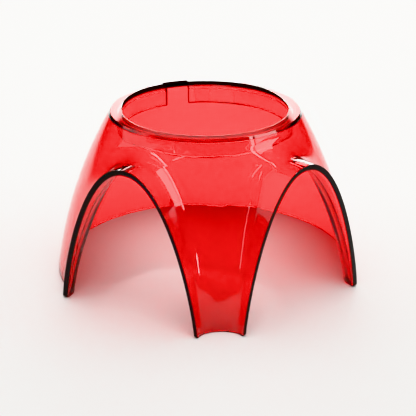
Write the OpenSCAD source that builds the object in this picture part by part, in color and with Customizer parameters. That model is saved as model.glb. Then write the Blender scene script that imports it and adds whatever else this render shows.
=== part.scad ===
// Rat house: a clear red moulded dome with two hooded doorways, open underneath, and a
// collar ring that drops into the round opening on top and lifts out again.
// The origin is the centre of the footprint, on the floor. The closed back faces +Y and
// the narrow leg between the two doorways faces -Y.

/* [Dome] */
// Outer diameter of the dome where it meets the floor
floor_d = 160; // [156:1:176]
// Height from the floor to the flat top of the collar ring
house_h = 86.5; // [85:0.5:96]
// Angle of the dome's side from upright at its top edge
top_lean = 30.5; // [26:0.5:34]
// Thickness of the moulded wall
wall = 2.6; // [2:0.1:3.2]

/* [Doorways] */
// Clear width of a doorway at the floor
door_w = 76.5; // [68:0.5:78]
// Clear height of a doorway
door_h = 74.6; // [64:0.2:76]
// Distance from the dome's axis to the flat front of a doorway
door_reach = 77; // [76:0.5:84]
// Angle of each doorway from straight ahead
door_turn = 36.8; // [36:0.2:42]
// Sideways shift of each doorway towards the leg between them
door_shift = 3; // [1.5:0.1:4]
// How much further the inside of a hood stands towards the leg than its outside does
jamb_shift = 0.6; // [0:0.1:1]
// Fullness of the arch at its sides, where 2 is an ellipse and more is squarer
arch_side_power = 2.12; // [2:0.02:2.4]
// Fullness of the arch at its crown, where 2 is an ellipse and less is more pointed
arch_crown_power = 1.29; // [1.2:0.01:1.6]
// Radius of the blend where a hood runs into the dome
blend_r = 13; // [8:0.5:14]
// Radius of the inside corner behind an outer jamb, where the hood's side meets the dome
corner_r = 1.5; // [1:0.1:6]

/* [Collar ring] */
// Clear diameter of the round opening, which sets how wide the dome's top is
opening_d = 86; // [80:0.5:96]
// Thickness of the ring's skirt
ring_wall = 2.6; // [1.8:0.1:3]
// Height of the collar ring from its flat top to the bottom of its skirt
ring_h = 10.8; // [8:0.1:16]
// Thickness of the flange that rests on the dome
flange_t = 1.6; // [1.2:0.1:2.4]
// Width of the step under the flange that centres the ring
step_w = 1.2; // [0.8:0.1:3]
// Height of that step
step_h = 1.4; // [1:0.1:2.4]
// Gap between that step and the dome's edge, all round
ring_clearance = 0.3; // [0.2:0.05:0.6]
// Radius of the rounded inner edge of the flange
lip_r = 0.5; // [0.3:0.1:1.4]
// Angle that the notch in the skirt takes up
notch_angle = 17; // [10:1:30]
// Direction of the notch, counter-clockwise from straight back
notch_turn = 16; // [0:1:180]
// Height of the finger lip above the flat top, over the notch
finger_lip_h = 0.9; // [0.5:0.1:1.5]

/* [Smoothness] */
// Columns of the mesh round half of one arch, and the same again on its other half
arch_steps = 15; // [12:1:20]
// Rows of the mesh from the floor to the top
rows = 14; // [12:1:18]
// Angle between the mesh's columns round the closed back
back_step = 5; // [5:1:10]

/* [Hidden] */
$fn = 96;

// The shell ends under the flange, which makes up the rest of the height
shell_h = house_h - flange_t;

// The collar ring's radii, from the opening outwards to the dome's inner top edge
bore_r = opening_d / 2;
skirt_r = bore_r + ring_wall;
step_r = skirt_r + step_w;
seat_r = step_r + ring_clearance;
skirt_edge_r = 0.6;
// The finger lip stands back from the flange's rounded edges
finger_lip_edge = 0.5;

// The dome's side is one arc from the floor edge. It ends with the lean asked for, one
// wall outside the edge that the ring seats in.
floor_r = floor_d / 2;
lean_out = [cos(top_lean), sin(top_lean)];
side_end = [seat_r, shell_h] + wall * lean_out;
side_chord = side_end - [floor_r, 0];
side_r = side_chord * side_chord / (2 * side_chord * lean_out);
side_centre_r = side_end.x - side_r * lean_out.x;
side_centre_z = side_end.y - side_r * lean_out.y;
top_r = dome_r(house_h, 0);

// The arch's outer outline is a superellipse one wall outside the clear doorway
arch_half_w = door_w / 2 + wall;
arch_h = door_h + wall;

// The blend fades out over this share of its radius, near the door's face and the top
fade = 0.35;
// Near the top the blend has this many times less height to fade in
top_fade_rate = 2;
// The inside corner sets in between these distances across from a doorway's middle, and
// is gone between these distances behind its face
corner_across = [4, 24];
corner_behind = [10, 22];
// Field value on the far side of the house, where a hood has no effect
far = 1000;

// Every column of the mesh is cut by rays from this ring, inside the house on the floor
ray_ring_r = 24;
ray_near = 5;
ray_far = 130;
halvings = 24;

// Azimuths of the leg's middle, the doorway on the right and the straight back
leg_az = -90;
door_az = leg_az + door_turn;
back_az = 90;
// The side of a hood has run into the dome this far past the middle of its doorway
hood_side_angle = 38.2;
side_az = door_az + hood_side_angle;
leg_steps = 5;
side_steps = 7;
back_steps = ceil((back_az - side_az) / back_step);

// The tips of the leg reach further forward than the dome does at the back, so the
// dome's axis stands behind the middle of the footprint
leg_tip_y = -door_reach * cos(door_turn) - (arch_half_w + door_shift) * sin(door_turn);
axis_y = -(leg_tip_y + floor_r) / 2;

function azimuth(p) = atan2(p.y, p.x);
function mix(a, b, t) = a + (b - a) * t;

// Radius of the dome at a height, inset by a depth measured square to its side
function dome_r(z, inset) =
    side_centre_r + sqrt(pow(side_r - inset, 2) - pow(z - side_centre_z, 2));

// Distance of a point from the dome's side, positive outside
function dome_field(p) =
    norm([norm([p.x, p.y]) - side_centre_r, p.z - side_centre_z]) - side_r;

// Distance of a point from the arch's outline, across and up in the door's plane.
// It is the superellipse's value over its slope, which is exact on the outline.
function arch_field(across, up) =
    let (
        x = abs(across) / arch_half_w,
        z = max(up, 1e-6) / arch_h,
        slope = norm([
            arch_side_power * pow(x, arch_side_power - 1) / arch_half_w,
            arch_crown_power * pow(z, arch_crown_power - 1) / arch_h
        ])
    )
    (pow(x, arch_side_power) + pow(z, arch_crown_power) - 1) / max(slope, 1e-6);

// Sideways shift of the arch at a depth below the outer skin
function shift_at(depth) = door_shift + jamb_shift * depth / wall;

// Where a point is as the doorway on one side sees it: how far out, and how far across
function door_out(p, side) = side * sin(door_turn) * p.x - cos(door_turn) * p.y;
function door_across(p, side, depth) =
    side * cos(door_turn) * p.x + sin(door_turn) * p.y + shift_at(depth);

// Distance of a point from one hood, which is the arch carried straight in from its face
function hood_field(p, side, depth) =
    door_out(p, side) < 0 ? far : arch_field(door_across(p, side, depth), p.z);

// Smooth step from 0 to 1 between two distances
function ramp(x, span) =
    let (t = min(max((x - span[0]) / (span[1] - span[0]), 0), 1))
    t * t * (3 - 2 * t);

// How far a point is behind the nearer doorway's face
function behind_face(p) = door_reach - max(door_out(p, 1), door_out(p, -1));

// Radius of the full blend at a point, which turns into the inside corner's on the inner
// skin behind the outer jambs
function full_blend(p, depth) =
    let (
        across = max(door_across(p, 1, depth), door_across(p, -1, depth)),
        share = ramp(across, corner_across) * (1 - ramp(behind_face(p), corner_behind))
    )
    mix(blend_r, corner_r, share * depth / wall);

// Radius of the blend at a point: none at a door's face or at the top, and full inside
function blend_at(p, depth) =
    let (
        full = full_blend(p, depth),
        room = max(0, min(behind_face(p), top_fade_rate * (shell_h - p.z)))
    )
    full * room / (room + fade * full) + 1e-3;

// Distance of a point from the whole outer skin. The dome and the hoods run together
// in a round blend, and the inner skin is the field one wall deeper.
function skin_field(p, depth) =
    let (
        blend = blend_at(p, depth),
        fields = [dome_field(p), hood_field(p, 1, depth), hood_field(p, -1, depth)]
    )
    max(blend, min(fields)) - norm([for (f = fields) max(0, blend - f)]);

// A point of a column, from its azimuth and its distance and rise along a ray
function ray_point(az, rise, t) =
    let (r = ray_ring_r + t * cos(rise)) [r * cos(az), r * sin(az), t * sin(rise)];

// Where a ray leaves the skin at a depth, found by halving
function ray_hit(az, rise, depth, lo = ray_near, hi = ray_far, left = halvings) =
    let (mid = (lo + hi) / 2)
    left == 0 ? ray_point(az, rise, mid)
    : skin_field(ray_point(az, rise, mid), depth) > -depth
        ? ray_hit(az, rise, depth, lo, mid, left - 1)
        : ray_hit(az, rise, depth, mid, hi, left - 1);

// Distance from the foot of the arch's middle line to its outline at an angle
function arch_hit(angle, depth, lo = 0, hi = ray_far, left = halvings) =
    let (mid = (lo + hi) / 2)
    left == 0 ? mid
    : arch_field(mid * cos(angle), mid * sin(angle)) > -depth
        ? arch_hit(angle, depth, lo, mid, left - 1)
        : arch_hit(angle, depth, mid, hi, left - 1);

// A point of the arch's outline on the face of the doorway on the right
function arch_point(angle, depth) =
    let (
        reach = arch_hit(angle, depth),
        across = reach * cos(angle) - shift_at(depth),
        x = sin(door_turn) * door_reach + cos(door_turn) * across,
        y = -cos(door_turn) * door_reach + sin(door_turn) * across
    )
    [x, y, reach * sin(angle)];

// Azimuths of the arch's two feet at a depth: beside the leg, and on the outer side
function leg_foot_az(depth) = azimuth(arch_point(180, depth));
function side_foot_az(depth) = azimuth(arch_point(0, depth));

// One column at a depth, from its lowest point to the shell's top edge
function column(start, depth) =
    let (
        az = azimuth(start),
        start_rise = atan2(start.z, norm([start.x, start.y]) - ray_ring_r),
        end_r = dome_r(shell_h, depth),
        end_rise = atan2(shell_h, end_r - ray_ring_r)
    )
    [
        start,
        for (j = [1:rows - 1]) ray_hit(az, mix(start_rise, end_rise, j / rows), depth),
        [end_r * cos(az), end_r * sin(az), shell_h]
    ];

// The columns of the right half, from the middle of the leg round to straight back
function half_columns(depth) = [
    for (i = [0:leg_steps - 1])
        column(ray_hit(mix(leg_az, leg_foot_az(depth), i / leg_steps), 0, depth), depth),
    for (i = [0:2 * arch_steps])
        column(arch_point(180 - 90 * i / arch_steps, depth), depth),
    for (i = [1:side_steps])
        column(ray_hit(mix(side_foot_az(depth), side_az, i / side_steps), 0, depth), depth),
    for (i = [1:back_steps])
        column(ray_hit(mix(side_az, back_az, i / back_steps), 0, depth), depth)
];

// All columns, with the left half mirrored from the right
function all_columns(depth) =
    let (half = half_columns(depth), last = len(half) - 1)
    [
        each half,
        for (i = [last - 1:-1:1]) [for (p = half[i]) [-p.x, p.y, p.z]]
    ];

// The dome and its hoods: two skins of matching columns, joined along the floor, the
// doors' faces and the top edge. Its wall is even, but for the shift of the jambs and the
// thicker corner behind the outer ones.
module house_shell() {
    outer = all_columns(0);
    inner = all_columns(wall);
    n = len(outer);
    deep = rows + 1;
    points = [for (skin = [outer, inner]) for (c = skin) each c];
    function at(skin, i, j) = skin * n * deep + (i % n) * deep + j;
    faces = [
        for (i = [0:n - 1]) each [
            for (j = [0:rows - 1]) each [
                [at(0, i, j), at(0, i + 1, j + 1), at(0, i + 1, j)],
                [at(0, i, j), at(0, i, j + 1), at(0, i + 1, j + 1)],
                [at(1, i, j), at(1, i + 1, j), at(1, i + 1, j + 1)],
                [at(1, i, j), at(1, i + 1, j + 1), at(1, i, j + 1)]
            ],
            [at(0, i, 0), at(0, i + 1, 0), at(1, i + 1, 0), at(1, i, 0)],
            [at(0, i, rows), at(1, i, rows), at(1, i + 1, rows), at(0, i + 1, rows)]
        ]
    ];
    color([0.9, 0.1, 0.1, 0.6]) translate([0, axis_y, 0]) polyhedron(points, faces);
}

// The ring's section: the flange carries on the dome's side, and the skirt hangs inside
module ring_section() {
    lip_steps = 8;
    skirt_bottom = house_h - ring_h;
    polygon([
        [bore_r, skirt_bottom + skirt_edge_r],
        for (i = [0:lip_steps]) let (a = 180 - 90 * i / lip_steps)
            [bore_r + lip_r + lip_r * cos(a), house_h - lip_r + lip_r * sin(a)],
        [top_r, house_h],
        [dome_r(shell_h, 0), shell_h],
        [step_r, shell_h],
        [step_r, shell_h - step_h],
        [skirt_r, shell_h - step_h],
        [skirt_r, skirt_bottom + skirt_edge_r],
        [skirt_r - skirt_edge_r, skirt_bottom],
        [bore_r + skirt_edge_r, skirt_bottom]
    ]);
}

// The section over the notch: only the flange outside the skirt, raised to a finger lip
module notch_section() {
    lip_r_out = top_r - finger_lip_edge;
    lip_z = house_h + finger_lip_h;
    polygon([
        [skirt_r, shell_h],
        [dome_r(shell_h, 0), shell_h],
        [top_r, house_h],
        [lip_r_out, house_h],
        [lip_r_out, lip_z],
        [skirt_r, lip_z]
    ]);
}

// The collar ring: a flange on the dome's top edge, a skirt that hangs in the opening,
// and a notch in the skirt that leaves a finger lip on the flange
module collar_ring() {
    notch_start = back_az + notch_turn - notch_angle / 2;
    notch_end = notch_start + notch_angle;
    color([0.85, 0.05, 0.05, 0.7]) translate([0, axis_y, 0]) {
        rotate_extrude(angle = 360 - notch_angle, start = notch_end) ring_section();
        rotate_extrude(angle = notch_angle, start = notch_start) notch_section();
    }
}

house_shell();
collar_ring();
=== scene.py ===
from types import SimpleNamespace

import bpy
import numpy as np
from bpy.props import FloatProperty, FloatVectorProperty, IntProperty, PointerProperty
from mathutils import Matrix, Vector


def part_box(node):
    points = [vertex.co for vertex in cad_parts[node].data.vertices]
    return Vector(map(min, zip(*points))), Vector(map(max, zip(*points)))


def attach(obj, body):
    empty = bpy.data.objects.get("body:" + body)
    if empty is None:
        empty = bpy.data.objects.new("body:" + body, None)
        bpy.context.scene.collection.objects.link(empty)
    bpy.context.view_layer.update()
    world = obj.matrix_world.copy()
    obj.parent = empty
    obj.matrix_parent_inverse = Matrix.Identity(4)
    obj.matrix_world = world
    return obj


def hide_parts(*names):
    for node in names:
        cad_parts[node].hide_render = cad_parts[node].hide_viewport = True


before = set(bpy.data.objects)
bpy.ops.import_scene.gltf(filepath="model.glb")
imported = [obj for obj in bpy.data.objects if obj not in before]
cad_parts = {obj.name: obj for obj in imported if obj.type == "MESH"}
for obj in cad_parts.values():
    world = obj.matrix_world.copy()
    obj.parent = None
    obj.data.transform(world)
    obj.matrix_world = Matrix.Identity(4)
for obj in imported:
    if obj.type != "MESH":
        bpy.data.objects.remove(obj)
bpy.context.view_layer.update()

bl_info = {
    "name": "Rat House",
    "version": (1, 0, 0),
    "blender": (4, 5, 0),
    "location": "View3D > Sidebar > Rat House",
    "description": "Dresses the CAD model of a clear red domed rat house with a lift-out "
                   "collar ring",
    "category": "Add Mesh",
}

# Field value of a hood behind the dome's axis, where it has no part
FAR = 1.0
# The inside corner comes in over these distances across a doorway, and goes out over
# these behind its face
JAMB_ACROSS = (0.004, 0.024)
JAMB_BEHIND = (0.010, 0.022)
# The blend is down to half its radius where the room left is this share of the radius
BLEND_EASE = 0.35
# Radius of the ring on the floor that the skin's rays start from
RAY_RING = 0.024
# How far the columns lean away from a doorway on their way up, by the leg and by the back
LEG_FAN, BACK_FAN = np.radians(4.2), np.radians(10)
# Points tried along half of an arch before they are spaced evenly
ARCH_SAMPLES = 1200
# Distance past a rounded corner at which a point keeps the straight side flat
GUARD = 0.00006
# The finger lip stands this far in from the top's edge, and its foot this far down
LIP_INSET, LIP_FOOT = 0.0005, 0.0003
# The ring's painted shade, opaque dark faces where the clear ring looks black with light lost
# inside it: how far back the crescent's circle is moved, in widths of the flat top, the
# height of the skirt's dark corner, and the sine of the angle past the ring's side at which
# that corner starts
CRESCENT, DARK_CORNER, DARK_BACK = 1.1, 0.0004, 0.35
# A piece may be this far off its CAD node
SLACK = 0.0003

PLASTIC_IOR = 1.58
# Share of a lamp's light that gets through each skin that it crosses
SHADOW_GREY = 0.5
# Noise stays mostly between these two values
NOISE_LOW, NOISE_HIGH = 0.35, 0.65

# The photograph's camera, from a fit to the rim, the feet and the doorways: focal length
# and width in pixels, place in metres, angle below level, and direction seen from above
FOCAL_PIXELS, PHOTO_WIDTH, SENSOR = 1110.36, 416, 36
EYE = (-0.0444, -0.5448, 0.2641)
DIP = np.radians(23.03)
AHEAD = (0.0833, 0.9965)


# ---- settings ----------------------------------------------------------------------------

def length(name, description, default, low, high):
    """A size in metres."""
    return FloatProperty(name=name, description=description, default=default, min=low,
                         max=high, unit="LENGTH", precision=4)


def angle(name, description, degrees, low, high):
    """An angle, kept in radians and given here in degrees."""
    return FloatProperty(name=name, description=description, default=np.radians(degrees),
                         min=np.radians(low), max=np.radians(high), unit="ROTATION")


def number(name, description, default, low, high):
    """A plain number."""
    return FloatProperty(name=name, description=description, default=default, min=low, max=high)


def count(name, description, default, low, high):
    """A whole number."""
    return IntProperty(name=name, description=description, default=default, min=low, max=high)


def colour(name, description, default):
    """A colour, scene-linear."""
    return FloatVectorProperty(name=name, description=description, default=default,
                               subtype="COLOR", min=0, max=1, size=3)


class RatHouseShell(bpy.types.PropertyGroup):
    floor_d: length("Floor Diameter", "Outer diameter of the dome at the floor",
                    0.160, 0.156, 0.176)
    house_h: length("Height", "Height of the flat top of the collar ring", 0.0865, 0.085, 0.096)
    top_lean: angle("Top Lean", "Angle of the dome's side from upright at its top edge",
                    30.5, 26, 34)
    wall: length("Wall", "Thickness of the moulded wall", 0.0026, 0.002, 0.0032)
    door_w: length("Doorway Width", "Clear width of a doorway at the floor", 0.0765, 0.068, 0.078)
    door_h: length("Doorway Height", "Clear height of a doorway", 0.0746, 0.064, 0.076)
    door_reach: length("Doorway Reach", "Distance from the dome's axis to a doorway's face",
                       0.077, 0.076, 0.084)
    door_turn: angle("Doorway Turn", "Angle of each doorway from straight ahead", 36.8, 36, 42)
    door_shift: length("Doorway Shift", "Shift of each doorway towards the leg",
                       0.003, 0.0015, 0.004)
    jamb_shift: length("Jamb Shift", "How much further the inside of a hood stands to the leg",
                       0.0006, 0, 0.001)
    side_power: number("Arch Sides", "Fullness of the arch at its sides", 2.12, 2, 2.4)
    crown_power: number("Arch Crown", "Fullness of the arch at its crown", 1.29, 1.2, 1.6)
    blend_r: length("Blend", "Radius of the blend between a hood and the dome", 0.013, 0.008, 0.014)
    corner_r: length("Inside Corner", "Radius of the inside corner behind an outer jamb",
                     0.0015, 0.001, 0.006)
    edge_r: length("Cut Edge Radius", "Rounding of the cut faces' edges", 0.00032, 0.0001, 0.0006)
    foot_r: length("Foot Radius", "Rounding of the hoods' feet", 0.0013, 0.0005, 0.003)
    seam: length("Seam", "Gap between the shell's top edge and the ring's flange",
                 0.00005, 0.00001, 0.0002)
    leg_columns: count("Leg Columns", "Columns across half of the leg", 12, 6, 30)
    arch_columns: count("Arch Columns", "Columns round one arch", 110, 40, 200)
    back_columns: count("Back Columns", "Columns round half of the back", 70, 30, 120)
    rows: count("Rows", "Rows from the cut edge to the top", 84, 30, 120)


class RatHouseRing(bpy.types.PropertyGroup):
    opening_d: length("Opening", "Clear diameter of the round opening", 0.086, 0.08, 0.096)
    ring_wall: length("Skirt", "Thickness of the ring's skirt", 0.0026, 0.0018, 0.003)
    ring_h: length("Ring Height", "Height of the ring without its finger lip", 0.0108, 0.008, 0.016)
    flange_t: length("Flange", "Thickness of the flange", 0.0016, 0.0012, 0.0024)
    step_w: length("Step Width", "Width of the step that centres the ring", 0.0012, 0.0008, 0.003)
    step_h: length("Step Height", "Height of that step", 0.0014, 0.001, 0.0024)
    clearance: length("Clearance", "Gap between the step and the shell", 0.0003, 0.0002, 0.0006)
    lip_r: length("Lip Radius", "Rounding of the flange's inner edge", 0.0005, 0.0003, 0.0014)
    notch_angle: angle("Notch Angle", "Angle that the notch takes up", 17, 10, 30)
    notch_turn: angle("Notch Turn", "Direction of the notch from straight back", 16, 0, 180)
    finger_h: length("Finger Lip", "Height of the finger lip above the flat top",
                     0.0009, 0.0005, 0.0015)
    columns: count("Columns", "Columns round the ring", 220, 90, 360)


class RatHouseFinish(bpy.types.PropertyGroup):
    dye: colour("Dye", "Colour that the clear plastic lets through", (0.985, 0.0, 0.0))
    dye_density: number("Dye Density", "How much the dye takes, per metre", 2000.0, 10, 5000)
    ring_density: number("Ring Dye Density", "The same for the ring", 2000.0, 10, 5000)
    # Painted shade: colour of the opaque dark faces put where the clear plastic looks nearly black
    painted_shade_tone: colour("Cut Edge", "Colour of the dark cut edges", (0.006, 0.0012, 0.001))
    haze: number("Haze", "Roughness of the polished skin", 0.02, 0, 0.3)
    ripple: length("Ripple", "Height of the moulding ripple", 0.00002, 0, 0.001)


class RatHouseStage(bpy.types.PropertyGroup):
    floor_tone: colour("Floor", "Colour of the floor", (0.80, 0.795, 0.78))
    fill_power: number("Overhead", "Power of the broad light overhead", 27.0, 0, 1000)
    key_power: number("Key", "Power of the light over the front", 12.0, 0, 1000)
    back_power: number("Backdrop", "Power of the light over the floor behind", 86.0, 0, 1000)
    right_light: number("Right Softboxes", "Brightness of the softboxes on the right", 6.0, 0, 100)
    left_light: number("Left Softboxes", "Brightness of the softboxes on the left", 1.5, 0, 100)
    panel: number("Panel", "Brightness of the white panel behind", 9.0, 0, 20)
    band: number("Band", "Brightness of the dim band above the panel", 0.4, 0, 20)
    room: number("Room", "Brightness of the dark room", 0.03, 0, 20)


# ---- the moulded skin --------------------------------------------------------------------

def sizes(scene):
    """All sizes in one place, with those that follow from the others, as in the CAD source."""
    shell, ring = scene.rat_house_shell, scene.rat_house_ring
    s = SimpleNamespace(**{k: getattr(g, k) for g in (shell, ring) for k in g.__annotations__})
    s.shell_h = s.house_h - s.flange_t
    s.bore_r = s.opening_d / 2
    s.skirt_r = s.bore_r + s.ring_wall
    s.step_r = s.skirt_r + s.step_w
    s.seat_r = s.step_r + s.clearance
    floor_r = s.floor_d / 2
    lean = np.array([np.cos(s.top_lean), np.sin(s.top_lean)])
    end = np.array([s.seat_r, s.shell_h]) + s.wall * lean
    chord = end - [floor_r, 0]
    s.side_r = chord @ chord / (2 * chord @ lean)
    s.side_centre_r, s.side_centre_z = end - s.side_r * lean
    s.arch_half_w = s.door_w / 2 + s.wall
    s.arch_h = s.door_h + s.wall
    half = s.arch_half_w + s.door_shift
    tip = -s.door_reach * np.cos(s.door_turn) - half * np.sin(s.door_turn)
    s.axis_y = -(tip + floor_r) / 2
    return s


def dome_r(z, inset, s):
    """Radius of the dome's arc at a height, inset square to its side:
    r = centre_r + sqrt((R - inset)^2 - (z - centre_z)^2)."""
    return s.side_centre_r + np.sqrt((s.side_r - inset) ** 2 - (z - s.side_centre_z) ** 2)


def arch_field(across, up, s):
    """How far a point is outside the arch's outline: the superellipse
    |across/w|^a + (up/h)^b - 1, over the length of its slope."""
    x = np.abs(across) / s.arch_half_w
    z = np.maximum(up, 1e-9) / s.arch_h
    slope = np.hypot(s.side_power * x ** (s.side_power - 1) / s.arch_half_w,
                     s.crown_power * z ** (s.crown_power - 1) / s.arch_h)
    return (x ** s.side_power + z ** s.crown_power - 1) / np.maximum(slope, 1e-6)


def shift_at(depth, s):
    """Sideways shift of the arch towards the leg at a depth below the outer skin."""
    return s.door_shift + s.jamb_shift * depth / s.wall


def door_place(p, side, depth, s):
    """How far out and how far across a point is, as one doorway sees it."""
    c, n = np.cos(s.door_turn), np.sin(s.door_turn)
    x, y = side * p[..., 0], p[..., 1]
    return n * x - c * y, c * x + n * y + shift_at(depth, s)


def ramp(x, low, high):
    """Smooth step t^2 (3 - 2 t) from 0 to 1 between two distances."""
    t = np.clip((x - low) / (high - low), 0, 1)
    return t * t * (3 - 2 * t)


def skin_field(p, depth, s):
    """How far a point is outside the whole outer skin. The fields f of the dome and both
    hoods run together as K - sqrt(sum(max(0, K - f)^2)). The blend K fades out at the
    doorways' faces and at the top as r m / (m + 0.35 r), where m is the room left. The
    radius r is the blend's, but on the inner skin it turns into the inside corner's
    behind the outer jambs, 4 to 24 mm across and up to 10 to 22 mm behind the face."""
    fields = [np.hypot(np.hypot(p[..., 0], p[..., 1]) - s.side_centre_r,
                       p[..., 2] - s.side_centre_z) - s.side_r]
    (out, across), (other_out, other_across) = (door_place(p, k, depth, s) for k in (1, -1))
    for o, a in ((out, across), (other_out, other_across)):
        fields.append(np.where(o < 0, FAR, arch_field(a, p[..., 2], s)))
    behind = s.door_reach - np.maximum(out, other_out)
    jamb = ramp(np.maximum(across, other_across), *JAMB_ACROSS)
    jamb = jamb * (1 - ramp(behind, *JAMB_BEHIND))
    r = s.blend_r + (s.corner_r - s.blend_r) * jamb * depth / s.wall
    room = np.maximum(np.minimum(behind, 2 * (s.shell_h - p[..., 2])), 0)
    blend = r * room / (room + BLEND_EASE * r) + 1e-6
    fields = np.stack(fields)
    over = np.maximum(blend - fields, 0)
    return np.maximum(blend, fields.min(0)) - np.sqrt((over ** 2).sum(0))


def skin_slope(p, depth, s):
    """Unit normals of the skin: the field's differences over 10 micrometres each way."""
    step = 1e-5 * np.eye(3)
    g = np.stack([skin_field(p + d, depth, s) - skin_field(p - d, depth, s) for d in step], -1)
    return unit(g)


def unit(v):
    """Vectors at length one: each over the root of the sum of its squares."""
    return v / np.maximum(np.linalg.norm(v, axis=-1, keepdims=True), 1e-12)


def ray_hit(azimuth, rise, depth, s):
    """Where rays leave the skin at a depth, by halving. A ray starts on the floor on a
    ring of radius 24 mm about the axis: r = 24 mm + t cos(rise), z = t sin(rise)."""
    azimuth, rise = np.broadcast_arrays(azimuth, rise)
    low, high = np.full(azimuth.shape, 0.005), np.full(azimuth.shape, 0.130)
    for _ in range(34):
        mid = (low + high) / 2
        r = RAY_RING + mid * np.cos(rise)
        p = np.stack([r * np.cos(azimuth), r * np.sin(azimuth), mid * np.sin(rise)], -1)
        outside = skin_field(p, depth, s) > -depth
        high = np.where(outside, mid, high)
        low = np.where(outside, low, mid)
    return p


def ray_place(p):
    """The azimuth and rise of the ray through a point."""
    return (np.arctan2(p[..., 1], p[..., 0]),
            np.arctan2(p[..., 2], np.hypot(p[..., 0], p[..., 1]) - RAY_RING))


def arch_across(z, depth, s):
    """Half width of the arch at a height, at a depth inside its outline, by halving."""
    low, high = np.zeros_like(z), np.full_like(z, s.arch_half_w * 1.2)
    for _ in range(40):
        mid = (low + high) / 2
        outside = arch_field(mid, z, s) > -depth
        high = np.where(outside, mid, high)
        low = np.where(outside, low, mid)
    return (low + high) / 2


def arch_crown(depth, s):
    """Height of the arch's crown at a depth."""
    low, high = 0.0, s.arch_h * 1.1
    for _ in range(50):
        mid = (low + high) / 2
        low, high = (low, mid) if arch_field(0.0, mid, s) > -depth else (mid, high)
    return low


def cut_path(depth, s):
    """The cut edge of one skin on the right half, from the leg's middle to straight back.
    It runs along the floor, up a foot's rounding, round the doorway's arch, down the other
    foot and along the floor. Returns the points, the cut's outward normals, the height's
    share of the arch and whether a point is on the doorway's face."""
    out = np.array([np.sin(s.door_turn), -np.cos(s.door_turn), 0])
    along = np.array([np.cos(s.door_turn), np.sin(s.door_turn), 0])
    up = np.array([0, 0, 1.0])
    crown = arch_crown(depth, s)

    # The arch above the foot's rounding, spaced evenly along its length
    t = np.linspace(0, 1, ARCH_SAMPLES) ** 1.5
    z = s.foot_r + (crown - s.foot_r) * np.sin(t * np.pi / 2)
    z[-1] = crown
    half = arch_across(z, depth, s)
    half[-1] = 0
    u = np.concatenate([-half, half[-2::-1]])
    zz = np.concatenate([z, z[-2::-1]])
    run = np.concatenate([[0], np.cumsum(np.hypot(np.diff(u), np.diff(zz)))])
    at = np.linspace(0, run[-1], s.arch_columns)
    u, zz = np.interp(at, run, u), np.interp(at, run, zz)

    # The rounding of each foot: a quarter circle from the floor to the doorway's face
    a = np.linspace(0, np.pi / 2, 7)[:-1]
    foot_z = s.foot_r * (1 - np.cos(a))
    foot_in = s.foot_r * (1 - np.sin(a))
    foot_u = arch_across(np.maximum(foot_z, 1e-7), depth, s)
    reach = np.concatenate([foot_in, np.zeros_like(u), foot_in[::-1]])
    across = np.concatenate([-foot_u, u, foot_u[::-1]])
    height = np.concatenate([foot_z, zz, foot_z[::-1]])
    tilt = np.concatenate([a, np.full_like(u, np.pi / 2), a[::-1]])
    door = ((s.door_reach - reach)[:, None] * out + (across - shift_at(depth, s))[:, None] * along
            + height[:, None] * up)
    door_normal = np.sin(tilt)[:, None] * out - np.cos(tilt)[:, None] * up

    # The floor's part of the path, across half of the leg and round half of the back
    first, last = ray_place(door[[0, -1]])[0]
    leg = ray_hit(np.linspace(-np.pi / 2, first, s.leg_columns, endpoint=False), 0.0, depth, s)
    back = ray_hit(np.linspace(last, np.pi / 2, s.back_columns + 1)[1:], 0.0, depth, s)
    points = np.concatenate([leg, door, back])
    normal = np.concatenate([np.tile(-up, (len(leg), 1)), door_normal,
                             np.tile(-up, (len(back), 1))])
    face = np.zeros(len(points), bool)
    face[len(leg):len(leg) + len(door)] = True
    share = np.clip(points[:, 2] / crown, 0, 1)
    return points, normal, share, face


def skin_sheet(depth, path, s):
    """One skin as columns by rows. Each column fans out from the cut edge, its azimuth
    a0 + (a1 - a0)(1 - (1 - t)^3) and its rise r0 + (r1 - r0) t, so that it leaves the edge
    at an open angle and reaches the top edge upright. Every point is then cut by its ray."""
    points, normal, share, _ = path
    az0, rise0 = ray_place(points - s.edge_r * normal)
    door_az = s.door_turn - np.pi / 2
    leg_az, back_az = -np.pi / 2, np.pi / 2
    inner = az0 < door_az
    foot_az = az0[share > 0.001][[0, -1]]
    fan = np.where(inner, -LEG_FAN, BACK_FAN) * (1 - share)
    fan = np.where(inner & (az0 < foot_az[0]),
                   fan * (az0 - leg_az) / (foot_az[0] - leg_az), fan)
    fan = np.where(~inner & (az0 > foot_az[1]),
                   fan * (back_az - az0) / (back_az - foot_az[1]), fan)
    top = s.shell_h - s.seam - s.edge_r / 2
    az1 = az0 + fan
    rise1 = np.arctan2(top, dome_r(top, depth, s) - RAY_RING)
    t = np.linspace(0, 1, s.rows)[None, :]
    az = az0[:, None] + (az1 - az0)[:, None] * (1 - (1 - t) ** 3)
    rise = rise0[:, None] + (rise1 - rise0)[:, None] * t
    p = ray_hit(az, rise, depth, s)
    return p, skin_slope(p, depth, s) * (1 if depth == 0 else -1)


def corner(a, c, b, na, nb, steps):
    """A rounded corner as rows of points between a and b, which bend round c:
    (1-t)^2 a + 2 t (1-t) c + t^2 b, with the normals turning from na to nb."""
    t = np.linspace(0, 1, steps + 1)[1:-1][None, :, None]
    a, c, b, na, nb = (np.broadcast_to(v, a.shape)[:, None, :] for v in (a, c, b, na, nb))
    return ((1 - t) ** 2 * a + 2 * t * (1 - t) * c + t ** 2 * b), unit((1 - t) * na + t * nb)


def between(a, b, n, steps):
    """Points on the straight lines from a to b, both ends included, all with normal n."""
    t = np.linspace(0, 1, steps + 1)[None, :, None]
    p = a[:, None, :] + (b - a)[:, None, :] * t
    return p, np.broadcast_to(np.broadcast_to(n, a.shape)[:, None, :], p.shape)


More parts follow.
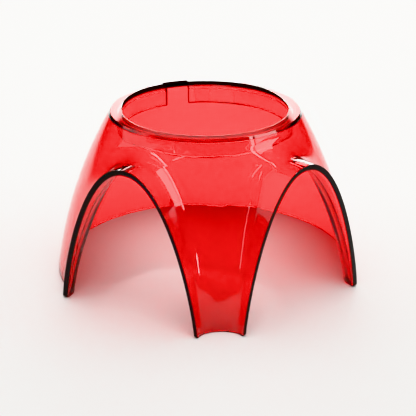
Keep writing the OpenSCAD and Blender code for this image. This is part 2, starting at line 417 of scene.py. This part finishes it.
def shell_grid(s):
    """The whole wall as a closed grid: each column runs up the outer skin, over the top
    edge, down the inner skin and across the cut face back to its start. Columns go once
    round the house, the left half mirrored from the right."""
    paths = [cut_path(d, s) for d in (0.0, s.wall)]
    outer, outer_n = skin_sheet(0.0, paths[0], s)
    inner, inner_n = skin_sheet(s.wall, paths[1], s)
    up = np.array([0, 0, 1.0])
    top = s.shell_h - s.seam

    def top_corner(sheet, depth):
        """The sharp corner of the top edge above the last row of a skin."""
        r = dome_r(top, depth, s)
        flat = unit(sheet[:, -1] * [1, 1, 0])
        return flat * r + up * top

    oc, ic = top_corner(outer, 0.0), top_corner(inner, s.wall)
    inward = unit(ic - oc)
    ot, it = oc + inward * s.edge_r / 2, ic - inward * s.edge_r / 2
    eo, ei, cut = paths[0][0], paths[1][0], paths[0][1]
    across = unit(eo - ei)
    bi, bo = ei + across * s.edge_r, eo - across * s.edge_r
    parts = [
        (outer, outer_n),
        corner(outer[:, -1], oc, ot, outer_n[:, -1], up, 4),
        between(ot, it, up, 3),
        corner(it, ic, inner[:, -1], up, inner_n[:, -1], 4),
        (inner[:, ::-1], inner_n[:, ::-1]),
        corner(inner[:, 0], ei, bi, inner_n[:, 0], cut, 4),
        between(bi, bo, cut, 4),
        corner(bo, eo, outer[:, 0], cut, outer_n[:, 0], 4),
    ]
    counts = [p.shape[1] for p, _ in parts]
    p = np.concatenate([q for q, _ in parts], 1)
    n = np.concatenate([q for _, q in parts], 1)
    # The cut face and its two rounded corners, on the doorways' columns, get painted shade: opaque
    # dark faces where light is lost inside the clear wall
    start = sum(counts[:5])
    painted_shade_row = np.zeros(p.shape[1], bool)
    painted_shade_row[start:start + counts[5] + counts[6] + counts[7]] = True
    painted_shade_column = paths[0][3]
    mirror = np.array([-1, 1, 1])
    p = np.concatenate([p, p[-2:0:-1] * mirror])
    n = np.concatenate([n, n[-2:0:-1] * mirror])
    painted_shade_column = np.concatenate([painted_shade_column, painted_shade_column[-2:0:-1]])
    return p + [0, s.axis_y, 0], n, painted_shade_column, painted_shade_row


# ---- the ring ----------------------------------------------------------------------------

def rounded_outline(corners, radii, steps):
    """A closed outline with rounded corners. Each corner c with radius r turns into the
    curve (1-t)^2 (c - l d) + 2 t (1-t) c + t^2 (c + l e), where d and e are the ways in
    and out of the corner and l = r tan(turn / 2). A point just past each end of the
    curve keeps the straight sides flat."""
    c = np.asarray(corners, float)
    came = unit(c - np.roll(c, 1, 0))
    goes = unit(np.roll(c, -1, 0) - c)
    turn = np.arccos(np.clip((came * goes).sum(1), -1, 1))
    reach = (np.asarray(radii) * np.tan(turn / 2))[:, None]
    t = np.linspace(0, 1, steps + 1)[None, :, None]
    a, b = c - came * reach, c + goes * reach
    bend = ((1 - t) ** 2 * a[:, None] + 2 * t * (1 - t) * c[:, None] + t ** 2 * b[:, None])
    bend = np.concatenate([(a - came * GUARD)[:, None], bend, (b + goes * GUARD)[:, None]], 1)
    return bend.reshape(-1, 2)


def ring_outlines(s):
    """The ring's section as (radius, height), and the section over the notch with as many
    points. There the skirt, the step and the inner part of the flange shrink to the line
    where the notch ends, and the flange's top rises to the finger lip."""
    top_r, edge_r = dome_r(s.house_h, 0, s), dome_r(s.shell_h, 0, s)
    bottom = s.house_h - s.ring_h
    step_z = s.shell_h - s.step_h
    corners = [  # (radius, height) and rounding
        ((edge_r, s.shell_h), 0.00012),  # the flange's outer edge, on the dome's top
        ((top_r, s.house_h), 0.00035),
        ((s.bore_r, s.house_h), s.lip_r),
        ((s.bore_r, bottom), 0.0006),  # the skirt's bottom edge
        ((s.skirt_r, bottom), 0.0006),
        ((s.skirt_r, step_z), 0.00015),  # the step that centres the ring
        ((s.step_r, step_z), 0.0002),
        ((s.step_r, s.shell_h), 0.00012),
    ]
    full = rounded_outline(*zip(*corners), 6)
    # Points along the flat top, which the finger lip's outline needs
    top = np.nonzero((full[:, 1] > s.house_h - 1e-7))[0]
    split = top[np.argmax(np.abs(np.diff(full[top, 0]))) + 1]
    lip_r_out, lip_z = top_r - LIP_INSET, s.house_h + s.finger_h
    lip_corners = [
        ((lip_r_out, s.house_h), 0.0001),
        ((lip_r_out, lip_z), 0.00025),
        ((s.skirt_r, lip_z), 0.00025),
        ((s.skirt_r, s.house_h - LIP_FOOT), 0.0),
    ]
    lip = rounded_outline(*zip(*lip_corners), 4)[:-1]
    flat = np.stack([np.linspace(full[split - 1, 0], s.skirt_r, len(lip) + 2)[1:-1],
                     np.full(len(lip), s.house_h)], 1)
    inner = np.linspace(s.skirt_r, full[split, 0], 8)[1:-1]
    rest = np.concatenate([np.stack([inner, np.full(len(inner), s.house_h)], 1), full[split:]])
    section = np.concatenate([full[:split], flat, rest])
    shrunk = np.stack([np.full(len(rest), s.skirt_r), np.maximum(rest[:, 1], s.shell_h)], 1)
    return section, np.concatenate([full[:split], lip, shrunk]), slice(split, None)


def revolve(sections, angles, s):
    """Sections (radius, height) carried round the dome's axis, one for each angle."""
    r, z = sections[..., 0], sections[..., 1]
    a = angles[:, None]
    return np.stack([r * np.cos(a), r * np.sin(a) + s.axis_y, z], -1)


def ring_grid(s):
    """The ring as a closed grid of sections. At the two ends of the notch the outline
    steps from one section to the other in one plane, which closes the cut faces."""
    section, bridge, cut = ring_outlines(s)
    start = np.pi / 2 + s.notch_turn - s.notch_angle / 2
    end = start + s.notch_angle
    ring_a = np.linspace(end, start + 2 * np.pi, s.columns)
    notch_a = np.linspace(start, end, max(6, round(s.columns * s.notch_angle / 6))) + 2 * np.pi
    outlines = np.concatenate([np.broadcast_to(section, (len(ring_a),) + section.shape),
                               np.broadcast_to(bridge, (len(notch_a),) + bridge.shape)])
    p = revolve(outlines, np.concatenate([ring_a, notch_a]), s)

    # The faces that get painted shade, an opaque dark material where the clear ring looks black
    #     with light lost inside it: the back of the flat top, as far as the bore's circle reaches
    #     when it is moved back by the top's width, the skirt's bottom corner at the back, the
    #     finger lip and the notch's cut faces
    r, z = np.hypot(p[..., 0], p[..., 1] - s.axis_y), p[..., 2]
    width = CRESCENT * (dome_r(s.house_h, 0, s) - s.bore_r)
    moved = np.hypot(p[..., 0], p[..., 1] - s.axis_y - width)
    crescent = (z > s.house_h - s.lip_r - 1e-5) & (moved < s.bore_r)
    edge = (z < s.house_h - s.ring_h + DARK_CORNER) & (p[..., 1] - s.axis_y > DARK_BACK * r)
    dark = crescent | edge
    dark &= np.roll(dark, -1, 1)
    dark[len(ring_a):, cut] = True
    dark[len(ring_a) - 1] = True
    return p, dark


# ---- meshes ------------------------------------------------------------------------------

def grid_faces(columns, rows):
    """Quads of a grid that closes in both directions."""
    i, j = np.meshgrid(np.arange(columns), np.arange(rows), indexing="ij")
    k = lambda a, b: (a % columns) * rows + b % rows
    return np.stack([k(i, j), k(i, j + 1), k(i + 1, j + 1), k(i + 1, j)], -1).reshape(-1, 4)


def signed_volume(p, quads):
    """Volume inside closed quads a b c d, negative when they face inwards: a sixth of the
    sum of a . (b x c) + a . (c x d)."""
    a, b, c, d = (p[quads[:, k]] for k in range(4))
    first = np.einsum("ij,ij->i", a, np.cross(b, c))
    second = np.einsum("ij,ij->i", a, np.cross(c, d))
    return (first + second).sum() / 6


def put_mesh(name, p, faces, slots, material_index):
    """A mesh from numpy arrays. Faces are quads, or triangles that repeat a corner."""
    same = faces[:, :, None] == faces[:, None, :]
    distinct = 4 - np.triu(same, 1).any(1).sum(1)
    quads, tris = faces[distinct == 4], faces[distinct == 3]
    if len(tris):
        twin = tris == np.roll(tris, -1, 1)
        order = (np.argmax(twin, 1)[:, None] + np.arange(1, 4)) % 4
        tris = np.take_along_axis(tris, order, 1)
    index = np.concatenate([material_index[distinct == 4], material_index[distinct == 3]])
    loops = np.concatenate([quads.reshape(-1), tris.reshape(-1)]).astype(np.int32)
    corner_counts = np.concatenate([np.full(len(quads), 4), np.full(len(tris), 3)])
    starts = np.concatenate([[0], np.cumsum(corner_counts)[:-1]]).astype(np.int32)
    mesh = bpy.data.meshes.new(name)
    mesh.vertices.add(len(p))
    mesh.vertices.foreach_set("co", p.astype(np.float32).reshape(-1))
    mesh.loops.add(len(loops))
    mesh.loops.foreach_set("vertex_index", loops)
    mesh.polygons.add(len(corner_counts))
    mesh.polygons.foreach_set("loop_start", starts)
    mesh.polygons.foreach_set("material_index", index.astype(np.int32))
    for m in slots:
        mesh.materials.append(m)
    mesh.update(calc_edges=True)
    if mesh.validate():
        raise RuntimeError(f"{name} had faces that Blender had to mend")
    mesh.polygons.foreach_set("use_smooth", np.ones(len(corner_counts), bool))
    obj = bpy.data.objects.new(name, mesh)
    bpy.context.scene.collection.objects.link(obj)
    return obj


def weld(p, faces):
    """Joins points that fall together, to a hundredth of a micrometre."""
    key, index = np.unique(np.round(p * 1e8).astype(np.int64), axis=0, return_inverse=True)
    return key / 1e8, index.reshape(-1)[faces]


def fits(obj, node, slack):
    """Stops the script if a piece isn't where its CAD node is."""
    low, high = (np.array(v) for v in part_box(node))
    co = np.zeros(len(obj.data.vertices) * 3, np.float32)
    obj.data.vertices.foreach_get("co", co)
    co = co.reshape(-1, 3)
    off = max(np.abs(co.min(0) - low).max(), np.abs(co.max(0) - high).max())
    if off > slack:
        raise RuntimeError(f"{obj.name} is {off * 1000:.2f} mm off the CAD node {node}")


# ---- materials ---------------------------------------------------------------------------

def new_material(name):
    """An empty material with its nodes, its links and its output node."""
    m = bpy.data.materials.new(name)
    m.use_nodes = True
    m.node_tree.nodes.clear()
    nodes, links = m.node_tree.nodes, m.node_tree.links
    out = nodes.new("ShaderNodeOutputMaterial")
    return m, nodes, links, out


def noise(nodes, links, scale, detail, roughness):
    """Noise on object coordinates. Scale is in turns per metre."""
    at = nodes.new("ShaderNodeTexCoord")
    n = nodes.new("ShaderNodeTexNoise")
    n.inputs["Scale"].default_value = scale
    n.inputs["Detail"].default_value = detail
    n.inputs["Roughness"].default_value = roughness
    links.new(at.outputs["Object"], n.inputs["Vector"])
    return n


def ranged(nodes, links, source, low, high):
    """Noise carried over to the range from low to high."""
    r = nodes.new("ShaderNodeMapRange")
    r.inputs["From Min"].default_value = NOISE_LOW
    r.inputs["From Max"].default_value = NOISE_HIGH
    r.inputs["To Min"].default_value = low
    r.inputs["To Max"].default_value = high
    links.new(source, r.inputs["Value"])
    return r.outputs["Result"]


def clear_plastic(name, f, density):
    """Clear dyed plastic: polished, with a faint moulding ripple and wiped-on haze. The
    dye takes its share by depth inside the wall, and lamps shine through it."""
    m, nodes, links, out = new_material(name)
    p = nodes.new("ShaderNodeBsdfPrincipled")
    p.inputs["Base Color"].default_value = (1, 1, 1, 1)
    p.inputs["Transmission Weight"].default_value = 1.0
    p.inputs["IOR"].default_value = PLASTIC_IOR
    haze = noise(nodes, links, 55, 5, 0.6)
    links.new(ranged(nodes, links, haze.outputs["Fac"], f.haze * 0.4, f.haze * 1.6),
              p.inputs["Roughness"])
    ripple = noise(nodes, links, 28, 2, 0.4)
    bump = nodes.new("ShaderNodeBump")
    bump.inputs["Strength"].default_value = 1.0
    bump.inputs["Distance"].default_value = f.ripple
    links.new(ripple.outputs["Fac"], bump.inputs["Height"])
    links.new(bump.outputs["Normal"], p.inputs["Normal"])
    path = nodes.new("ShaderNodeLightPath")
    clear = nodes.new("ShaderNodeBsdfTransparent")
    clear.inputs["Color"].default_value = (SHADOW_GREY,) * 3 + (1,)
    mix = nodes.new("ShaderNodeMixShader")
    links.new(path.outputs["Is Shadow Ray"], mix.inputs["Fac"])
    links.new(p.outputs["BSDF"], mix.inputs[1])
    links.new(clear.outputs["BSDF"], mix.inputs[2])
    links.new(mix.outputs["Shader"], out.inputs["Surface"])
    dye = nodes.new("ShaderNodeVolumeAbsorption")
    dye.inputs["Color"].default_value = (*f.dye, 1)
    dye.inputs["Density"].default_value = density
    links.new(dye.outputs["Volume"], out.inputs["Volume"])
    return m


def painted_shade_faces(name, f, ior, polish, shine):
    """Painted shade: opaque dark faces put where the clear plastic looks nearly black, with
    light lost inside it: the cut faces and parts of the ring. Tone and gloss vary a little.
    The gloss has the index of refraction ior, the roughness polish and the strength shine."""
    m, nodes, links, out = new_material(name)
    p = nodes.new("ShaderNodeBsdfPrincipled")
    tone = noise(nodes, links, 90, 3, 0.5)
    ramp = nodes.new("ShaderNodeValToRGB")
    ramp.color_ramp.elements[0].color = (*[c * 0.5 for c in f.painted_shade_tone], 1)
    ramp.color_ramp.elements[1].color = (*[c * 1.8 for c in f.painted_shade_tone], 1)
    links.new(tone.outputs["Fac"], ramp.inputs["Fac"])
    links.new(ramp.outputs["Color"], p.inputs["Base Color"])
    p.inputs["IOR"].default_value = ior
    p.inputs["Specular IOR Level"].default_value = shine
    gloss = noise(nodes, links, 160, 4, 0.6)
    links.new(ranged(nodes, links, gloss.outputs["Fac"], 0.6 * polish, 1.4 * polish),
              p.inputs["Roughness"])
    links.new(p.outputs["BSDF"], out.inputs["Surface"])
    return m


# ---- operators ---------------------------------------------------------------------------

class RATHOUSE_OT_shell(bpy.types.Operator):
    """Build the moulded shell: the dome, both hoods and the leg between them"""
    bl_idname = "rathouse.shell"
    bl_label = "Shell"

    def execute(self, context):
        s, f = sizes(context.scene), context.scene.rat_house_finish
        p, n, painted_shade_column, painted_shade_row = shell_grid(s)
        columns, rows = p.shape[:2]
        faces = grid_faces(columns, rows)
        # Faces of the doorways' cut faces, which get painted shade
        painted_shade_column = painted_shade_column & np.roll(painted_shade_column, -1)
        dark = painted_shade_column[:, None] & (painted_shade_row & np.roll(painted_shade_row, -1))
        p, n = p.reshape(-1, 3), n.reshape(-1, 3)
        if signed_volume(p, faces) < 0:
            faces = faces[:, ::-1]
        # The second slot is painted shade: opaque dark faces for the doorways' cut faces, which
        # look nearly black in the clear plastic
        slots = [clear_plastic("clear_red_shell", f, f.dye_density),
                 painted_shade_faces("shell_painted_shade", f, 1.45, 0.15, 0.33)]
        obj = put_mesh("moulded_shell", p, faces, slots, dark.reshape(-1).astype(int))
        obj.data.normals_split_custom_set_from_vertices(n)
        fits(obj, "house_shell", SLACK)
        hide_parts("house_shell")
        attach(obj, "house")
        return {"FINISHED"}


class RATHOUSE_OT_ring(bpy.types.Operator):
    """Build the collar ring with its flange, skirt, notch and finger lip"""
    bl_idname = "rathouse.ring"
    bl_label = "Collar Ring"

    def execute(self, context):
        s, f = sizes(context.scene), context.scene.rat_house_finish
        p, dark = ring_grid(s)
        faces = grid_faces(*p.shape[:2])
        p, faces = weld(p.reshape(-1, 3), faces)
        if signed_volume(p, faces) < 0:
            faces = faces[:, ::-1]
        # The second slot is painted shade: opaque dark faces where the clear ring looks nearly
        # black
        slots = [clear_plastic("clear_red_ring", f, f.ring_density),
                 painted_shade_faces("ring_painted_shade", f, PLASTIC_IOR, 0.025, 0.0)]
        obj = put_mesh("collar", p, faces, slots, dark.reshape(-1).astype(int))
        obj.data.set_sharp_from_angle(angle=np.radians(35))
        fits(obj, "collar_ring", SLACK)
        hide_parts("collar_ring")
        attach(obj, "collar")
        return {"FINISHED"}


def plane(name, low, high, z, material):
    """A flat rectangle at a height."""
    mesh = bpy.data.meshes.new(name)
    (x0, y0), (x1, y1) = low, high
    mesh.from_pydata([(x0, y0, z), (x1, y0, z), (x1, y1, z), (x0, y1, z)], [], [(0, 1, 2, 3)])
    mesh.materials.append(material)
    obj = bpy.data.objects.new(name, mesh)
    bpy.context.scene.collection.objects.link(obj)
    return obj


def lamp(name, at, size, power):
    """A soft rectangular lamp that faces down."""
    data = bpy.data.lights.new(name, "AREA")
    data.shape = "RECTANGLE"
    data.size, data.size_y = size
    data.energy = power
    obj = bpy.data.objects.new(name, data)
    obj.location = at
    bpy.context.scene.collection.objects.link(obj)
    return obj


def math_node(nodes, links, operation, a, b=None):
    """A math node whose inputs are sockets or numbers."""
    n = nodes.new("ShaderNodeMath")
    n.operation = operation
    for k, v in enumerate((a, b)):
        if isinstance(v, bpy.types.NodeSocket):
            links.new(v, n.inputs[k])
        elif v is not None:
            n.inputs[k].default_value = v
    return n.outputs["Value"]


def surroundings(scene, stage):
    """The studio as seen in the gloss: a white panel behind the house, a dim band above it
    and a dark room. The panel's top edge is at 12 degrees above the horizon and rises in
    its middle, where it is at 15.6 + 0.12 (a - 4.6)^2 degrees. The band fades in at about
    19 degrees and out from 22 to 26. The direction a is in degrees from straight back
    towards the right."""
    world = bpy.data.worlds.new("studio")
    world.use_nodes = True
    nodes, links = world.node_tree.nodes, world.node_tree.links
    nodes.clear()
    out = nodes.new("ShaderNodeOutputWorld")
    back = nodes.new("ShaderNodeBackground")
    at = nodes.new("ShaderNodeTexCoord")
    axes = nodes.new("ShaderNodeSeparateXYZ")
    links.new(at.outputs["Generated"], axes.inputs["Vector"])

    def m(operation, a, b=None):
        """A math node in the world's nodes."""
        return math_node(nodes, links, operation, a, b)

    def fade(value, low, high):
        """Smooth step from 0 at low to 1 at high."""
        r = nodes.new("ShaderNodeMapRange")
        r.interpolation_type = "SMOOTHSTEP"
        r.inputs["From Min"].default_value = low
        r.inputs["From Max"].default_value = high
        links.new(value, r.inputs["Value"])
        return r.outputs["Result"]

    def within(value, low, high, soft):
        """One between low and high, with edges that fade over soft degrees to each side."""
        return m("MULTIPLY", fade(value, low - soft, low + soft),
                 m("SUBTRACT", 1.0, fade(value, high - soft, high + soft)))

    around = m("DEGREES", m("ARCTAN2", axes.outputs["X"], axes.outputs["Y"]))
    height = m("DEGREES", m("ARCSINE", axes.outputs["Z"]))
    off_middle = m("ABSOLUTE", m("SUBTRACT", around, 4.6))
    rise = m("ADD", m("MULTIPLY", m("POWER", off_middle, 2.0), 0.12), 3.6)
    top = m("ADD", m("MULTIPLY", rise, within(around, -1.5, 11.0, 0.3)), 12.0)
    panel = m("MULTIPLY", fade(m("SUBTRACT", top, height), -0.4, 0.4),
              within(around, -10, 17, 1.0))
    back.inputs["Color"].default_value = (1, 0.99, 0.97, 1)
    band = m("MULTIPLY", fade(height, 18.6, 19.2), within(around, -8, 18, 1.5))
    band = m("MULTIPLY", band, m("SUBTRACT", 1.0, fade(height, 22.0, 26.0)))
    glow = m("ADD", m("MULTIPLY", panel, stage.panel), m("MULTIPLY", band, stage.band))
    links.new(m("ADD", glow, stage.room), back.inputs["Strength"])
    links.new(back.outputs["Background"], out.inputs["Surface"])
    scene.world = world


def direction(around, height):
    """The unit vector at degrees round from straight back to the right, and above the horizon."""
    a, h = np.radians(around), np.radians(height)
    return Vector((np.sin(a) * np.cos(h), np.cos(a) * np.cos(h), np.sin(h)))


def softbox(name, start, end, width, brightness):
    """A soft lamp one metre away that fills a strip of directions, from start to end and
    some degrees wide. Its ends stand where those directions meet the plane that faces the
    house, and its width is 2 tan(width / 2). Its power is pi times brightness and area."""
    a, b = direction(*start), direction(*end)
    out = (a + b).normalized()
    a, b = a / a.dot(out), b / b.dot(out)
    size = ((b - a).length, 2 * np.tan(np.radians(width / 2)))
    along = (b - a).normalized()
    obj = lamp(name, (0, 0, 0), size, brightness * size[0] * size[1] * np.pi)
    turn = Matrix((along, out.cross(along), out)).transposed().to_4x4()
    obj.matrix_world = Matrix.Translation((a + b) / 2 + Vector((0, 0, 0.05))) @ turn
    obj.visible_diffuse = False
    return obj


class RATHOUSE_OT_stage(bpy.types.Operator):
    """Set the pale floor, the soft lamps, the surroundings and the camera"""
    bl_idname = "rathouse.stage"
    bl_label = "Stage"

    def execute(self, context):
        scene = context.scene
        stage = scene.rat_house_stage
        m, nodes, links, out = new_material("studio_floor")
        p = nodes.new("ShaderNodeBsdfPrincipled")
        cloud = noise(nodes, links, 6, 3, 0.5)
        ramp = nodes.new("ShaderNodeValToRGB")
        ramp.color_ramp.elements[0].position, ramp.color_ramp.elements[1].position = 0.3, 0.7
        ramp.color_ramp.elements[0].color = (*[c * 0.985 for c in stage.floor_tone], 1)
        ramp.color_ramp.elements[1].color = (*[c * 1.015 for c in stage.floor_tone], 1)
        links.new(cloud.outputs["Fac"], ramp.inputs["Fac"])
        links.new(ramp.outputs["Color"], p.inputs["Base Color"])
        p.inputs["Roughness"].default_value = 0.9
        p.inputs["Specular IOR Level"].default_value = 0.0
        links.new(p.outputs["BSDF"], out.inputs["Surface"])
        plane("studio_floor", (-4, -4), (4, 4), -0.0002, m)
        overhead = lamp("overhead", (0.0, 0.4, 1.4), (1.6, 1.6), stage.fill_power)
        key = lamp("front_key", (0.15, -0.7, 1.25), (1.4, 0.8), stage.key_power)
        # The backdrop shines straight down on the floor behind the house
        data = bpy.data.lights.new("backdrop", "SPOT")
        data.energy, data.shadow_soft_size = stage.back_power, 0.08
        data.spot_size, data.spot_blend = np.radians(71), 0.2
        backdrop = bpy.data.objects.new("backdrop", data)
        backdrop.location = (0.18, 0.8, 1.2)
        scene.collection.objects.link(backdrop)
        for light in (overhead, key, backdrop):
            light.visible_glossy = light.visible_transmission = False
        softbox("right_box", (106.5, 28), (70.6, 68), 30, stage.right_light)
        softbox("right_line", (126.5, 29), (127.5, 70), 4, 1.5 * stage.right_light)
        softbox("right_arc", (129, 69), (-40, 62), 2.5, 2 * stage.right_light)
        softbox("right_low", (130.5, 3), (132, 10), 1.5, 3 * stage.right_light)
        softbox("left_box", (-80, 17), (-80, 66), 40, stage.left_light)
        softbox("left_line", (-138, 36), (-135, 6), 2.5, 2 * stage.left_light)
        softbox("front_line", (-177, 74), (-161, 53), 3, 3 * stage.left_light)
        softbox("front_line_2", (-146, 68), (-137, 56), 2.5, 3 * stage.left_light)
        surroundings(scene, stage)

        camera = bpy.data.cameras.new("camera")
        camera.lens = FOCAL_PIXELS / PHOTO_WIDTH * SENSOR
        camera.sensor_width = SENSOR
        camera.clip_start = 0.01
        eye = bpy.data.objects.new("camera", camera)
        eye.location = EYE
        way = Vector((AHEAD[0] * np.cos(DIP), AHEAD[1] * np.cos(DIP), -np.sin(DIP)))
        eye.rotation_euler = way.to_track_quat("-Z", "Y").to_euler()
        scene.collection.objects.link(eye)
        scene.camera = eye

        scene.view_settings.view_transform = "Khronos PBR Neutral"
        scene.view_settings.look = "None"
        # Light has to get through both walls and the ring and out again
        c = scene.cycles
        c.max_bounces, c.diffuse_bounces, c.glossy_bounces = 24, 4, 8
        c.transmission_bounces, c.transparent_max_bounces = 20, 32
        c.caustics_reflective, c.caustics_refractive = False, True
        c.sample_clamp_indirect = 6.0
        return {"FINISHED"}


class RATHOUSE_PT_panel(bpy.types.Panel):
    """Sizes, finishes and build buttons of the rat house"""
    bl_idname = "RATHOUSE_PT_panel"
    bl_label = "Rat House"
    bl_space_type = "VIEW_3D"
    bl_region_type = "UI"
    bl_category = "Rat House"

    def draw(self, context):
        for op, group in ((RATHOUSE_OT_shell, context.scene.rat_house_shell),
                          (RATHOUSE_OT_ring, context.scene.rat_house_ring),
                          (None, context.scene.rat_house_finish),
                          (RATHOUSE_OT_stage, context.scene.rat_house_stage)):
            box = self.layout.box()
            for key in group.__annotations__:
                box.prop(group, key)
            if op is not None:
                box.operator(op.bl_idname)


CLASSES = (RatHouseShell, RatHouseRing, RatHouseFinish, RatHouseStage,
           RATHOUSE_OT_shell, RATHOUSE_OT_ring, RATHOUSE_OT_stage, RATHOUSE_PT_panel)
SETTINGS = {"rat_house_shell": RatHouseShell, "rat_house_ring": RatHouseRing,
            "rat_house_finish": RatHouseFinish, "rat_house_stage": RatHouseStage}


def register():
    """Register the classes and hang the settings on the scene."""
    for c in CLASSES:
        bpy.utils.register_class(c)
    for name, kind in SETTINGS.items():
        setattr(bpy.types.Scene, name, PointerProperty(type=kind))


def unregister():
    """Take away what register added."""
    for name in SETTINGS:
        delattr(bpy.types.Scene, name)
    for c in reversed(CLASSES):
        bpy.utils.unregister_class(c)


def main():
    """Build the stage and both pieces."""
    register()
    bpy.ops.rathouse.stage()
    bpy.ops.rathouse.shell()
    bpy.ops.rathouse.ring()


if __name__ == "__main__":
    main()
